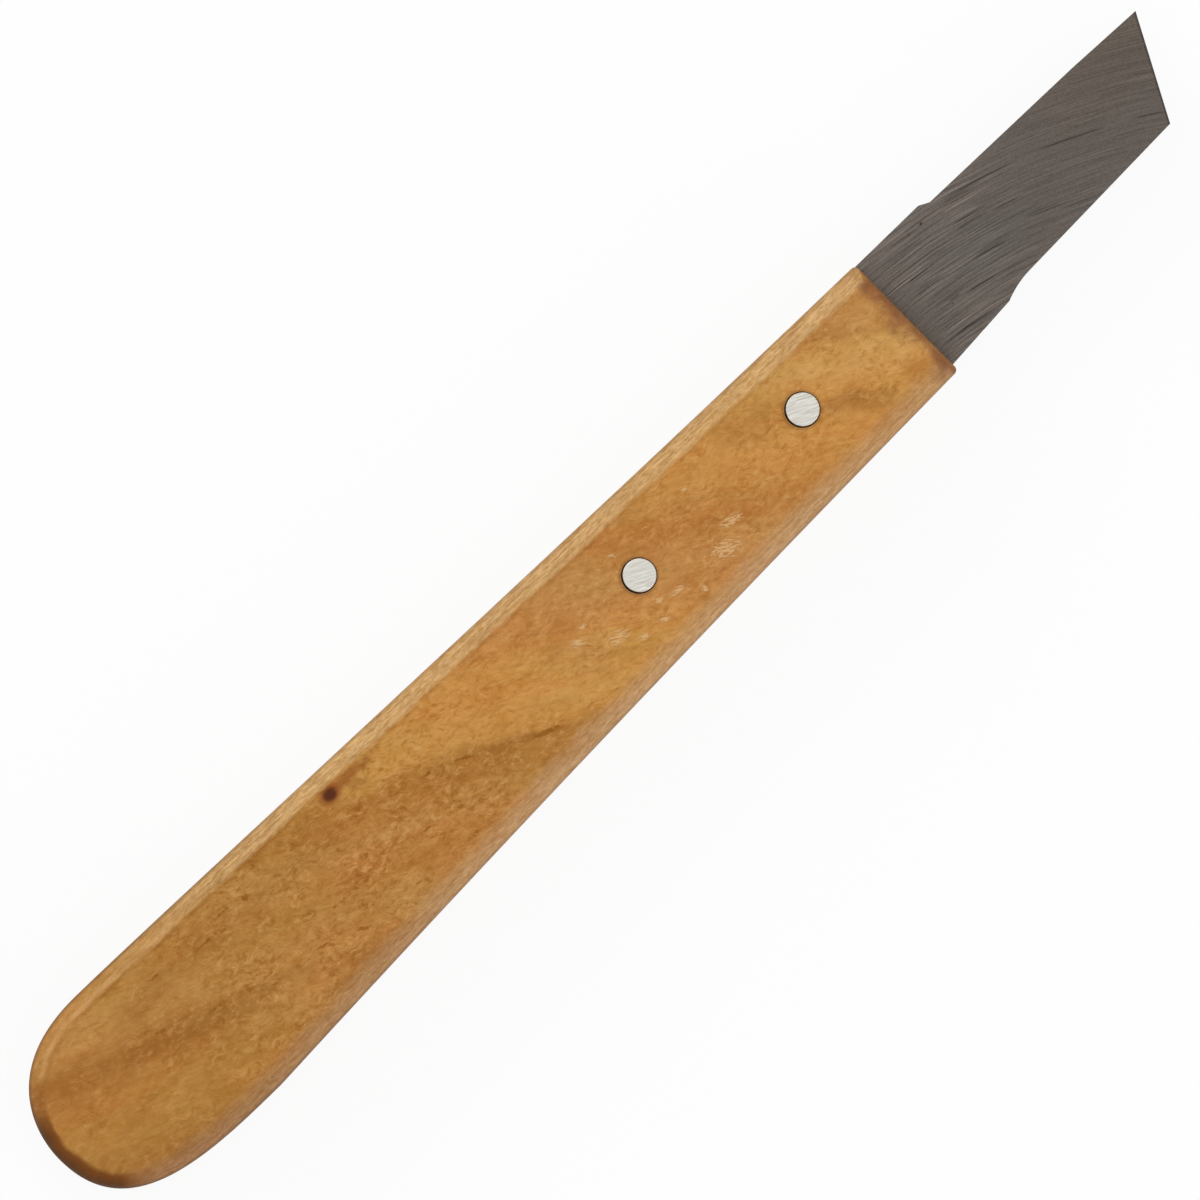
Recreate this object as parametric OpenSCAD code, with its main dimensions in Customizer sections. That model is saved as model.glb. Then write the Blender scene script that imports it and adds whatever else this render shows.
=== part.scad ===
// Wood carving knife: a one-piece slotted wooden handle, a flat skew blade whose tang fills the slot,
// and two plain pins riveted through the handle and the tang. All sizes are in millimetres.
// X runs along the knife to its point, Y across it to the spine, and Z out of the upper flat face.
// The origin is under the middle of the knife, on the plane that the handle lies on.

/* [Handle] */
// Length of the handle, from the end of its butt to the face that the blade comes out of
handle_l = 133; // [115:0.5:155]
// Greatest width of the handle, near its butt
butt_w = 23.1; // [20:0.1:28]
// Thickness of the handle between its two flat faces
handle_t = 11; // [9:0.1:15]
// How far the front of the handle is set off towards the spine
front_shift = 0.36; // [0:0.01:1]
// How far the handle stands out past the blade on the spine side
spine_step = 0.15; // [0.05:0.01:1]
// How far the handle stands out past the blade on the belly side
belly_step = 0.88; // [0.2:0.01:2]
// Angle at which the spine edge starts to widen behind the front of the handle
spine_widening = 0.75; // [0:0.05:2]
// Angle at which the belly edge starts to widen behind the front of the handle
belly_widening = 1; // [0:0.05:2]
// Distance from the end of the butt to the shoulder where the spine edge starts
shoulder_run = 13.7; // [11:0.1:18]
// Distance from the end of the butt to the widest point of the belly edge
belly_run = 23.4; // [18:0.1:28]
// How far the end of the butt lies below the middle of the handle's width
butt_drop = 0.15; // [0:0.05:2]

/* [Handle edges] */
// Width of the bevel along the spine edge, at the butt
spine_rim_rear = 1.8; // [0.8:0.1:2.5]
// Width of the bevel along the spine edge, at the front
spine_rim_front = 2.2; // [0.8:0.1:2.8]
// Width of the rounding along the belly edge
belly_rim = 2.4; // [1:0.1:3]
// Width of the rounding at the end of the butt
butt_rim = 1.6; // [0.8:0.1:2.5]
// Width of the rounding at the front of the handle
front_rim = 1; // [0.4:0.1:2]
// Radius of the two corners at the front of the handle
front_corner_r = 0.6; // [0.3:0.1:1.5]

/* [Blade] */
// Length of the blade that shows, from the handle to the point
blade_l = 42.2; // [35:0.1:60]
// Thickness of the blade and its tang
blade_t = 2; // [1.4:0.1:3]
// Width of the blade's base where it enters the handle
base_w = 15.4; // [13:0.1:17]
// Width of the blade's base at its far end, before the notches
heel_w = 14.7; // [12.6:0.05:15]
// How far the base drops along its spine side before the notch
heel_drop = 0.08; // [0:0.02:0.3]
// Length of the base along the spine, from the handle to the notch
spine_base_l = 9.7; // [6:0.1:14]
// Length of the base along the belly, from the handle to the notch
belly_base_l = 9.5; // [6:0.1:14]
// Height of the notch on the spine side
spine_notch_h = 0.62; // [0.2:0.02:1.2]
// Length of the slope of the notch on the spine side
spine_notch_l = 1.2; // [0.5:0.1:3]
// Height of the notch on the belly side
belly_notch_h = 0.87; // [0.2:0.01:1.4]
// Radius of the grinding wheel that left the notch on the belly side
notch_r = 11.5; // [6:0.5:25]
// Angle at which the spine side of the working part narrows towards the point
spine_taper = 1.3; // [0:0.1:3]
// Angle at which the belly side of the working part narrows towards the point
belly_taper = 1.6; // [0:0.1:3]
// Length of the last stretch of the spine side, worn down towards the point
worn_l = 9.5; // [4:0.5:15]
// Angle at which that stretch narrows
worn_taper = 2.6; // [0:0.1:5]
// Angle between the cutting edge and the length of the knife
skew_angle = 62.5; // [45:0.5:80]
// Angle of the bevel ground on the under side of the cutting edge
bevel_angle = 20; // [14:0.5:30]
// Width of the narrow strip honed on the upper side of the cutting edge
honed_w = 0.35; // [0.2:0.05:0.8]
// Depth of that strip at the cutting edge
honed_h = 0.08; // [0.04:0.01:0.2]
// Blunt thickness left at the cutting edge
edge_land = 0.04; // [0.02:0.01:0.1]

/* [Rivets] */
// Diameter of the rivet pins
rivet_d = 4; // [3:0.1:5]
// Distance of the front rivet behind the front of the handle
rivet_inset = 15.4; // [10:0.1:20]
// Distance between the two rivets along the knife
rivet_spacing = 25.9; // [18:0.1:32]
// Height of the rear rivet above the middle of the tang
rear_rivet_offset = 0.1; // [-1.5:0.1:1.5]
// Height of the front rivet above the middle of the tang
front_rivet_offset = 0.5; // [-1.5:0.1:1.5]
// Length of the tang behind the middle of the rear rivet
tang_end = 10.5; // [6:0.5:18]

/* [Fits] */
// Gap between the tang and each wall of the slot
slot_gap = 0.05; // [0.02:0.01:0.2]
// Gap between a rivet and the wall of its hole
rivet_gap = 0.05; // [0.02:0.01:0.15]
// Gap between the end of the tang and the bottom of the slot
slot_end_gap = 0.5; // [0.2:0.1:2]
// Depth of each rivet end below the face of the handle
rivet_recess = 0.05; // [0.02:0.01:0.2]

/* [Hidden] */
// The sub-parts, one name each, and the one that is drawn

// How far past a face a cut runs, so that it is clean
over = 1;
// Sides of the round pins and holes
$fn = 64;

// Places along the knife
butt_x = -(handle_l + blade_l) / 2;
front_x = butt_x + handle_l;
tip_x = front_x + blade_l;
// Places across the handle's front, and the blade's base within it
front_w = base_w + spine_step + belly_step;
front_spine_y = front_shift + front_w / 2;
front_belly_y = front_shift - front_w / 2;
base_spine_y = front_spine_y - spine_step;
base_belly_y = front_belly_y + belly_step;
// Middle of the knife's thickness
mid_z = handle_t / 2;

// The corners of the handle's outline, where its four long curves meet
front_spine = [front_x, front_spine_y];
shoulder = [butt_x + shoulder_run, butt_w / 2];
butt_end = [butt_x, -butt_drop];
belly = [butt_x + belly_run, -butt_w / 2];
front_belly = [front_x, front_belly_y];
// Lengths of the two long edges, and how far their end directions carry, as shares of those lengths
spine_edge_l = front_x - shoulder[0];
belly_edge_l = front_x - belly[0];
spine_front_pull = 0.38;
spine_rear_pull = 0.095;
belly_front_pull = 0.58;
belly_rear_pull = 0.01;
// How full the two quarters of the butt are, along the knife and across it
butt_spine_full = [0.83, 0.36];
butt_belly_full = [0.5, 0.97];
// Steps along each stretch of the outline, and up each rounded edge
spine_steps = 24;
butt_steps = 30;
belly_steps = 30;
corner_steps = 6;
rim_steps = 10;
// Shape of an edge's section: 1 is a flat bevel and 2 is a quarter round
spine_roundness = 1.25;
butt_roundness = 1.7;
belly_roundness = 2;
front_roundness = 2;
// Depth of a rounded edge for each millimetre of its width
rim_depth = 0.95;

// Point of a cubic curve, and its direction of travel
function curve(c, t) =
    pow(1 - t, 3) * c[0] + 3 * pow(1 - t, 2) * t * c[1] + 3 * (1 - t) * t * t * c[2] + t * t * t * c[3];
function travel(c, t) =
    pow(1 - t, 2) * (c[1] - c[0]) + 2 * (1 - t) * t * (c[2] - c[1]) + t * t * (c[3] - c[2]);
function mix(a, b, t) = a + (b - a) * t;
function polar(r, angle) = r * [cos(angle), sin(angle)];

// The four curves of the outline, in order round the handle from its front on the spine side
spine_curve = [
    front_spine,
    front_spine + spine_front_pull * spine_edge_l * [-1, tan(spine_widening)],
    shoulder + [spine_rear_pull * spine_edge_l, 0],
    shoulder
];
butt_spine_curve = [
    shoulder,
    shoulder - [butt_spine_full[0] * shoulder_run, 0],
    butt_end + [0, butt_spine_full[1] * (shoulder[1] - butt_end[1])],
    butt_end
];
butt_belly_curve = [
    butt_end,
    butt_end - [0, butt_belly_full[1] * (butt_end[1] - belly[1])],
    belly - [butt_belly_full[0] * belly_run, 0],
    belly
];
belly_curve = [
    belly,
    belly + [belly_rear_pull * belly_edge_l, 0],
    front_belly - belly_front_pull * belly_edge_l * [1, tan(belly_widening)],
    front_belly
];

// One outline point: its place, how far the flat face lies in from it along X and Y, the width that
// sets its edge's depth, and the roundness of that edge
function edge_point(c, t, rim, roundness) =
    let (d = travel(c, t), inward = [-d[1], d[0]] / norm(d))
    [curve(c, t), rim * inward, rim, roundness];
function corner_point(middle, angle, inset, rim, roundness) =
    [middle + polar(front_corner_r, angle), inset, rim, roundness];

belly_corner = front_belly + [-front_corner_r, front_corner_r];
spine_corner = front_spine - [front_corner_r, front_corner_r];
outline = concat(
    [for (i = [0 : corner_steps]) let (s = i / corner_steps)
        corner_point(belly_corner, mix(-90, 0, s), [-front_rim, belly_rim],
            mix(belly_rim, front_rim, s), mix(belly_roundness, front_roundness, s))],
    [for (i = [0 : corner_steps]) let (s = i / corner_steps)
        corner_point(spine_corner, mix(0, 90, s), [-front_rim, -spine_rim_front],
            mix(front_rim, spine_rim_front, s), mix(front_roundness, spine_roundness, s))],
    [for (i = [1 : spine_steps]) let (s = i / spine_steps)
        edge_point(spine_curve, s, mix(spine_rim_front, spine_rim_rear, s), spine_roundness)],
    [for (i = [1 : butt_steps]) let (s = i / butt_steps)
        edge_point(butt_spine_curve, s, mix(spine_rim_rear, butt_rim, s),
            mix(spine_roundness, butt_roundness, s))],
    [for (i = [1 : butt_steps]) let (s = i / butt_steps)
        edge_point(butt_belly_curve, s, mix(butt_rim, belly_rim, s),
            mix(butt_roundness, belly_roundness, s))],
    [for (i = [1 : belly_steps - 1]) let (s = i / belly_steps)
        edge_point(belly_curve, s, belly_rim, belly_roundness)]
);

// One ring of the handle's skin: turn 0 is the edge of the flat face, and 90 is the outline itself
function share(roundness, wave) = 1 - pow(wave, 2 / roundness);
function ring(turn, upper) = [for (p = outline)
    let (
        flat = p[0] + p[1] * share(p[3], sin(turn)),
        depth = rim_depth * p[2] * share(p[3], cos(turn))
    )
    [flat[0], flat[1], upper ? handle_t - depth : depth]];

// The wooden body before it is slotted and drilled
module handle_blank() {
    n = len(outline);
    rings = 2 * (rim_steps + 1);
    lower_skin = [for (j = [0 : rim_steps]) ring(90 * j / rim_steps, false)];
    upper_skin = [for (j = [rim_steps : -1 : 0]) ring(90 * j / rim_steps, true)];
    points = [for (r = concat(lower_skin, upper_skin)) each r];
    walls = [for (j = [0 : rings - 2], i = [0 : n - 1])
        let (a = j * n + i, b = j * n + (i + 1) % n)
        each [[a, a + n, b + n], [a, b + n, b]]];
    under = [for (i = [0 : n - 1]) i];
    top = [for (i = [n - 1 : -1 : 0]) (rings - 1) * n + i];
    polyhedron(points, concat(walls, [under, top]), convexity = 4);
}

// Places of the rivets, on the middle line of the tang
tang_y = (base_spine_y + base_belly_y) / 2;
front_rivet_at = [front_x - rivet_inset, tang_y + front_rivet_offset];
rear_rivet_at = [front_rivet_at[0] - rivet_spacing, tang_y + rear_rivet_offset];
tang_x = rear_rivet_at[0] - tang_end;
slot_t = blade_t + 2 * slot_gap;
slot_x = tang_x - slot_end_gap;

module rivet_holes(from_z, to_z) {
    for (place = [front_rivet_at, rear_rivet_at])
        translate([place[0], place[1], from_z])
            cylinder(d = rivet_d + 2 * rivet_gap, h = to_z - from_z);
}

// One piece of wood, sawn down its middle from the front to take the tang, and drilled for the rivets
module handle() {
    color([0.63, 0.42, 0.2])
        difference() {
            handle_blank();
            translate([slot_x, -butt_w, mid_z - slot_t / 2])
                cube([front_x + over - slot_x, 2 * butt_w, slot_t]);
            rivet_holes(-over, handle_t + over);
        }
}

// Corners of the blade's outline ahead of the handle
heel_spine_y = base_spine_y - heel_drop;
heel_belly_y = heel_spine_y - heel_w;
spine_notch_x = front_x + spine_base_l;
belly_notch_x = front_x + belly_base_l;
work_spine = [spine_notch_x + spine_notch_l, heel_spine_y - spine_notch_h];
work_belly_y = heel_belly_y + belly_notch_h;
// The wheel touches the belly side of the working part where its notch ends
wheel_drop = acos(1 - belly_notch_h / notch_r);
wheel = [belly_notch_x + notch_r * sin(wheel_drop), work_belly_y - notch_r];
notch_steps = 8;
worn_x = tip_x - worn_l;
worn_spine = [worn_x, work_spine[1] - (worn_x - work_spine[0]) * tan(spine_taper)];
tip = worn_spine + worn_l * [1, -tan(worn_taper)];
// The cutting edge runs back from the tip to the belly side, which narrows too
edge_back = (tip[1] - work_belly_y - (tip_x - wheel[0]) * tan(belly_taper))
    / (tan(skew_angle) - tan(belly_taper));
edge_foot = tip - edge_back * [1, tan(skew_angle)];

module blade_outline() {
    polygon(concat(
        [[tang_x, base_belly_y], [front_x, base_belly_y]],
        [for (i = [0 : notch_steps])
            wheel + polar(notch_r, 90 + wheel_drop * (1 - i / notch_steps))],
        [edge_foot, tip, worn_spine, work_spine, [spine_notch_x, heel_spine_y]],
        [[front_x, base_spine_y], [tang_x, base_spine_y]]
    ));
}

// A block with one face through the cutting edge, tilted to take metal off the upper or the under side
module edge_cut(at_z, tilt) {
    reach = 2 * blade_l;
    translate([tip[0], tip[1], at_z])
        rotate([0, 0, skew_angle])
            rotate([tilt, 0, 0])
                translate([-reach, -over, tilt < 0 ? -reach : 0])
                    cube([2 * reach, reach, reach]);
}

// A flat bar of steel: the tang in the handle, the base, the notches and the skew end with its bevel
module blade() {
    upper_z = mid_z + blade_t / 2;
    color([0.36, 0.34, 0.33])
        difference() {
            translate([0, 0, mid_z - blade_t / 2])
                linear_extrude(blade_t)
                    blade_outline();
            edge_cut(upper_z - honed_h, atan(honed_h / honed_w));
            edge_cut(upper_z - honed_h - edge_land, -bevel_angle);
            rivet_holes(mid_z - blade_t, mid_z + blade_t);
        }
}

// A plain pin, hammered tight and filed off just under the faces of the handle
module rivet(place) {
    ease = 0.12;
    r = rivet_d / 2;
    l = handle_t - 2 * rivet_recess;
    color([0.8, 0.79, 0.76])
        translate([place[0], place[1], rivet_recess])
            rotate_extrude()
                polygon([[0, 0], [r - ease, 0], [r, ease], [r, l - ease], [r - ease, l], [0, l]]);
}

module front_rivet() {
    rivet(front_rivet_at);
}

module rear_rivet() {
    rivet(rear_rivet_at);
}

handle();
blade();
front_rivet();
rear_rivet();
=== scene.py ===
"""Looks of a wood carving knife: an oiled wooden handle, a ground steel blade and two filed rivets.

The file is laid out as an add-on and run as a script. Each operator makes one piece, or one group of like
pieces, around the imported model, in metres: X runs to the point, Y to the spine and Z out of the upper face.
"""

import math

import bmesh
import bpy
import numpy as np
from bpy.props import FloatProperty, FloatVectorProperty, PointerProperty
from bpy.types import Operator, Panel, PropertyGroup
from mathutils import Matrix, Vector, noise


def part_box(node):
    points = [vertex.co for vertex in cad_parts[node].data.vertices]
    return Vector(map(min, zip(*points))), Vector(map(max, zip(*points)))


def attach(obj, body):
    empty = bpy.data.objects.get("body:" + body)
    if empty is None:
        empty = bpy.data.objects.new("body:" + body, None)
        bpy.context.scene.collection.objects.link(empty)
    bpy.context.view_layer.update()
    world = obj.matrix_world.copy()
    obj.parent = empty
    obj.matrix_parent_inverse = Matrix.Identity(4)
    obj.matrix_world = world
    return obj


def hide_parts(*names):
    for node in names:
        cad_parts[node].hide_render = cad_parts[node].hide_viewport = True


bl_info = {
    "name": "Wood carving knife",
    "version": (1, 0, 0),
    "blender": (4, 5, 0),
    "location": "View3D > Sidebar > Knife",
    "description": "Makes the handle, blade, rivets and stage of a wood carving knife",
    "category": "Add Mesh",
}

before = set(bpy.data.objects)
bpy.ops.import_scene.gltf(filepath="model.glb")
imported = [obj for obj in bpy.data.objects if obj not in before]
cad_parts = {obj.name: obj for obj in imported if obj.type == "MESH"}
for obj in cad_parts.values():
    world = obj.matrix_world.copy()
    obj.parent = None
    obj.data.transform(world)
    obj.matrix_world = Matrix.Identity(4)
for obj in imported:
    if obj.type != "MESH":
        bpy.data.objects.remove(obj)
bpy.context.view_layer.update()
handle_low, handle_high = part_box("handle")
blade_low, blade_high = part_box("blade")
pin_boxes = {name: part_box(name) for name in ("front_rivet", "rear_rivet")}

MM = 0.001
TO_MM = 1000.0


def tone(red, green, blue):
    """Linear colour of a tone that is written as a screen shows it, each part from 0 to 255."""
    parts = (red / 255, green / 255, blue / 255)
    return tuple(c / 12.92 if c < 0.04045 else ((c + 0.055) / 1.055) ** 2.4 for c in parts)


def length(name, size, description):
    """A length that a user can change: given here in millimetres and kept in metres."""
    return FloatProperty(name=name, default=size * MM, description=description, unit="LENGTH", precision=5)


def share(name, default, description):
    """A plain number that a user can change."""
    return FloatProperty(name=name, default=default, description=description)


def angle(name, degrees, description):
    """An angle that a user can change."""
    return FloatProperty(name=name, default=math.radians(degrees), description=description, subtype="ANGLE")


def colour(name, default, description):
    """A colour that a user can change."""
    return FloatVectorProperty(
        name=name, default=default, description=description, subtype="COLOR", size=3, min=0, max=1
    )


# Settings


class HandleSettings(PropertyGroup):
    """Sizes and wood tones of the handle."""

    front_spine: length("Front, spine side", 8.575, "Height of the spine edge at the front")
    front_belly: length("Front, belly side", -7.855, "Height of the belly edge at the front")
    spine_widening: angle("Spine widening", 0.75, "Angle at which the spine edge starts to widen")
    belly_widening: angle("Belly widening", 1.0, "Angle at which the belly edge starts to widen")
    shoulder_run: length("Shoulder run", 13.7, "Distance from the butt to the spine edge's shoulder")
    belly_run: length("Belly run", 23.4, "Distance from the butt to the widest point of the belly")
    butt_drop: length("Butt drop", 0.15, "How far the end of the butt lies below the middle")
    spine_rim_rear: length("Spine bevel, rear", 1.8, "Width of the spine bevel at the butt")
    spine_rim_front: length("Spine bevel, front", 2.2, "Width of the spine bevel at the front")
    belly_rim: length("Belly rounding", 2.4, "Width of the rounding along the belly")
    butt_rim: length("Butt rounding", 1.6, "Width of the rounding at the butt")
    front_rim: length("Front rounding", 1.0, "Width of the rounding at the front")
    corner_radius: length("Front corners", 0.6, "Radius of the two front corners")
    rim_depth: share("Edge depth", 0.95, "Depth of a rounded edge for its width")
    sanding: share("Sanding", 0.11, "How unevenly the edges are sanded, as a share of their width")
    slot_gap: length("Slot gap", 0.05, "Gap between the tang and each wall of the slot")
    slot_end_gap: length("Slot end gap", 0.5, "Gap between the end of the tang and the slot's bottom")
    rear_wood: colour("Rear wood", tone(179, 124, 59), "Wood of the butt end")
    dark_wood: colour("Dark figure", tone(175, 119, 55), "Dark bands of the figure")
    red_wood: colour("Red figure", tone(164, 109, 50), "Narrow reddish bands of the figure")
    olive_wood: colour("Olive figure", tone(184, 129, 66), "Paler wood beside the reddish bands")
    gold_wood: colour("Golden figure", tone(200, 142, 72), "Golden bands of the figure")
    rust_wood: colour("Rusty figure", tone(184, 127, 64), "Darker blotches towards the front")
    warm_wood: colour("Warm figure", tone(191, 135, 73), "Reddish bands of the figure")
    pale_wood: colour("Pale figure", tone(205, 157, 88), "Palest bands of the figure")
    flush_wood: colour("Flushed figure", tone(186, 124, 68), "Broad blotches with a reddish cast")
    streak_wood: colour("Dark streak", tone(162, 104, 44), "Thin streak along the edge of the dark band")
    # Spine edge: painted sheen, tones paler than the face that stand for the light that the rounded edge
    # catches
    spine_sheen: colour("Spine edge", tone(196, 155, 101), "Wood bared along the spine edge")
    spine_sheen_rear: colour("Spine edge, rear", tone(172, 130, 74), "Wood of the spine edge by the butt")
    # Belly edge: painted sheen, tones paler than the face that stand for the light that the rounded belly
    # catches
    belly_sheen: colour("Belly edge", tone(201, 157, 110), "Wood worn along the belly edge")
    belly_sheen_rear: colour("Belly edge, rear", tone(168, 126, 88), "Wood of the belly edge by the butt")
    # Butt: end grain darker than the face, with painted shade on it for an end that turns away from the
    # lights, darkest at its outermost rim
    end_grain_and_shade: colour("End grain", tone(117, 67, 26), "Oil-dark end grain at the butt")
    # End rim: also the tone of the painted shade along the whole outline
    rim_shade_wood: colour("End rim", tone(88, 54, 27), "Outermost end grain at the butt")
    # Front: tone of the darker wood along the front
    front_wood: colour("Front", tone(136, 88, 57), "Stained wood at the front")
    # Pores: colour of the real pores and creases, and also of painted shade in the hollows of the raised
    # grain and beside the spine bevel
    pore_and_shade_wood: colour("Pores", tone(140, 80, 12), "Hollows and creases of the grain")
    # Flecks: painted highlight on the crests of the raised grain
    grain_highlight_wood: colour("Flecks", tone(216, 167, 103), "Raised grain that catches the light")
    # Scuffs: colour of the real scuffs, and also of the painted highlight at the spine bevel's inner border
    scuff_and_highlight_wood: colour("Scuffs", tone(222, 176, 120), "Pale scuffs in the finish")
    knot_wood: colour("Knot", tone(82, 39, 24), "Heart of the small knot")
    halo_wood: colour("Knot halo", tone(148, 82, 34), "Stained wood beside the knot")


class BladeSettings(PropertyGroup):
    """Sizes and steel tones of the blade."""

    heel_drop: length("Base drop", 0.08, "How far the base drops along the spine before its notch")
    heel_rise: length("Base rise", 0.62, "How far the base rises along the belly before its notch")
    spine_base: length("Spine base", 9.7, "Length of the base along the spine")
    belly_base: length("Belly base", 9.5, "Length of the base along the belly")
    spine_notch_height: length("Spine notch height", 0.62, "Height of the notch on the spine side")
    spine_notch_run: length("Spine notch run", 1.2, "Length of the slope of that notch")
    belly_notch_height: length("Belly notch height", 0.87, "Height of the notch on the belly side")
    notch_radius: length("Belly notch radius", 11.5, "Radius of the wheel that left that notch")
    spine_taper: angle("Spine taper", 1.3, "Angle at which the spine side narrows to the point")
    belly_taper: angle("Belly taper", 1.6, "Angle at which the belly side narrows to the point")
    worn_length: length("Worn stretch", 9.5, "Length of the worn end of the spine side")
    worn_taper: angle("Worn taper", 2.6, "Angle at which that stretch narrows")
    skew: angle("Skew", 62.5, "Angle between the cutting edge and the knife's length")
    bevel: angle("Bevel", 20, "Angle of the bevel under the cutting edge")
    honed_width: length("Honed strip", 0.35, "Width of the strip honed on the upper side")
    honed_height: length("Honed depth", 0.08, "Depth of that strip at the cutting edge")
    edge_land: length("Edge land", 0.04, "Blunt thickness left at the cutting edge")
    edge_ease: length("Eased edges", 0.07, "Width of the rubbed-down long edges")
    hole_gap: length("Hole gap", 0.05, "Gap between a rivet and its hole")
    steel: colour("Steel", tone(102, 94, 88), "Ground steel")
    cool_steel: colour("Cool steel", tone(94, 91, 86), "Greenish cast in the middle of the blade")
    warm_steel: colour("Warm steel", tone(99, 90, 82), "Brownish cast at the point")
    # Tone of the deepest grinding marks, and also of the painted dark reflection along the cutting edge
    mark_and_reflection_steel: colour("Deep marks", tone(52, 47, 46), "Bottoms of the deepest grinding marks")


class RivetSettings(PropertyGroup):
    """Sizes and tones of the rivets."""

    ease: length("Eased rim", 0.12, "Width of the eased rim of each end")
    uneven: share("Uneven", 0.012, "How far a hammered end is out of round, as a share of its radius")
    hole_radius: length("Hole radius", 2.03, "Radius of the hole in the wood")
    hole_shift: length("Hole shift", 0.08, "How far the hole is drilled out towards the butt")
    shrink: length("Shrunk pins", 0.05, "How far a pin is thinner than its stock")
    metal: colour("Metal", tone(224, 221, 212), "Filed aluminium")
    shade: colour("Shade", tone(164, 159, 151), "File marks in the aluminium")


class StageSettings(PropertyGroup):
    """Camera, light and floor."""

    view_centre: FloatVectorProperty(
        name="View centre", default=(-0.99 * MM, 1.955 * MM), size=2, unit="LENGTH",
        description="Point of the handle's upper face at the middle of the picture",
    )
    view_width: length("View width", 133.56, "Width of the picture at the handle's upper face")
    view_turn: angle("View turn", -44.6, "Turn of the camera about the vertical")
    lens: share("Lens", 1000.0, "Focal length of the camera in millimetres")
    floor_colour: colour("Floor", (0.96, 0.96, 0.96), "Colour of the floor")
    shadow: share("Shadow", 0.09, "Share of the floor's own shading that the camera sees")
    ambient: share("Ambient", 0.4, "Strength of the light from all round")
    overhead: share("Overhead", 0.7, "Brightness of the soft light overhead")
    spine_side: share("Spine side", 3.4, "Brightness of the soft light on the spine side")
    belly_side: share("Belly side", 1.8, "Brightness of the soft light on the belly side")


# Shader helpers

NUMBER = "NodeSocketFloat"
VECTOR = "NodeSocketVector"
WHITE = (1, 1, 1, 1)
# Half height of a patch in millimetres, far more than the knife's thickness
PATCH_HALF_HEIGHT = 1000.0


class Value:
    """What a shader node gives. Arithmetic with it adds Math nodes to its tree."""

    def __init__(self, tree, socket):
        self.tree = tree
        self.socket = socket

    def __add__(self, other):
        return maths("ADD", self, other)

    def __sub__(self, other):
        return maths("SUBTRACT", self, other)

    def __rsub__(self, other):
        return maths("SUBTRACT", other, self)

    def __mul__(self, other):
        return maths("MULTIPLY", self, other)

    def __truediv__(self, other):
        return maths("DIVIDE", self, other)

    def __abs__(self):
        return maths("ABSOLUTE", self)


def home(*values):
    """The tree that the first node among some values belongs to."""
    return next(value.tree for value in values if isinstance(value, Value))


def add_node(tree, kind, inputs=None, **settings):
    """A node with its settings, and its inputs set to numbers or linked to values."""
    node = tree.nodes.new(kind)
    for name, value in settings.items():
        setattr(node, name, value)
    for key, value in (inputs or {}).items():
        if isinstance(value, Value):
            tree.links.new(value.socket, node.inputs[key])
        else:
            node.inputs[key].default_value = value
    return node


def place(tree, kind, inputs=None, output=0, **settings):
    """One output of a new node."""
    return Value(tree, add_node(tree, kind, inputs, **settings).outputs[output])


def maths(operation, *values, clamp=False):
    """Result of one Math node."""
    inputs = dict(enumerate(values))
    return place(home(*values), "ShaderNodeMath", inputs, operation=operation, use_clamp=clamp)


def largest(values):
    """The largest of some values."""
    top, *rest = values
    for value in rest:
        top = maths("MAXIMUM", top, value)
    return top


def hypotenuse(across, up):
    """Length of a line, from how far it goes across and up."""
    return maths("SQRT", across * across + up * up)


def vectors(operation, first, second):
    """Result of one Vector Math node."""
    key = "Scale" if operation == "SCALE" else 1
    return place(first.tree, "ShaderNodeVectorMath", {0: first, key: second}, operation=operation)


def combine(x, y, z):
    """A vector from its three parts."""
    return place(home(x, y, z), "ShaderNodeCombineXYZ", {0: x, 1: y, 2: z})


def split(vector):
    """The three parts of a vector."""
    node = add_node(vector.tree, "ShaderNodeSeparateXYZ", {0: vector})
    return [Value(vector.tree, socket) for socket in node.outputs]


def rotate(vector, turn):
    """A vector turned about the vertical."""
    inputs = {"Vector": vector, "Angle": turn}
    return place(vector.tree, "ShaderNodeVectorRotate", inputs, rotation_type="Z_AXIS")


def rise(value, low, high, bottom=0.0, top=1.0):
    """Smooth step of a value from bottom at low to top at high."""
    inputs = {"Value": value, "From Min": low, "From Max": high, "To Min": bottom, "To Max": top}
    return place(value.tree, "ShaderNodeMapRange", inputs, interpolation_type="SMOOTHSTEP")


def mottle(vector, scale, detail=2.0, roughness=0.5):
    """Soft noise from 0 to 1, about 0.5 on average."""
    inputs = {"Vector": vector, "Scale": scale, "Detail": detail, "Roughness": roughness}
    return place(vector.tree, "ShaderNodeTexNoise", inputs)


def stretched(vector, sizes, detail=2.0, roughness=0.5):
    """Noise in stretched coordinates: the sizes say how far it runs along each of them."""
    return mottle(vectors("DIVIDE", vector, sizes), 1.0, detail, roughness)


def swing(soft, width):
    """Noise moved so that it swings evenly about 0, over a width."""
    return (soft - 0.5) * width


def spread(soft, reach, bottom=0.0, top=1.0):
    """Noise drawn out to run from bottom to top, within a reach of its average."""
    return rise(soft, 0.5 - reach, 0.5 + reach, bottom, top)


def blend(factor, first, second, mode="MIX"):
    """Mix of two colours, each a node's or a setting's."""
    tints = [tint if isinstance(tint, Value) else (*tint, 1) for tint in (first, second)]
    inputs = {0: factor, 6: tints[0], 7: tints[1]}
    return place(home(factor, *tints), "ShaderNodeMix", inputs, 2, data_type="RGBA", blend_type=mode)


def multiply(tint, cast, factor=1.0):
    """A colour times another."""
    return blend(factor, tint, cast, "MULTIPLY")


def brighten(tint, amount):
    """A colour times a number."""
    return multiply(tint, combine(amount, amount, amount))


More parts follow.
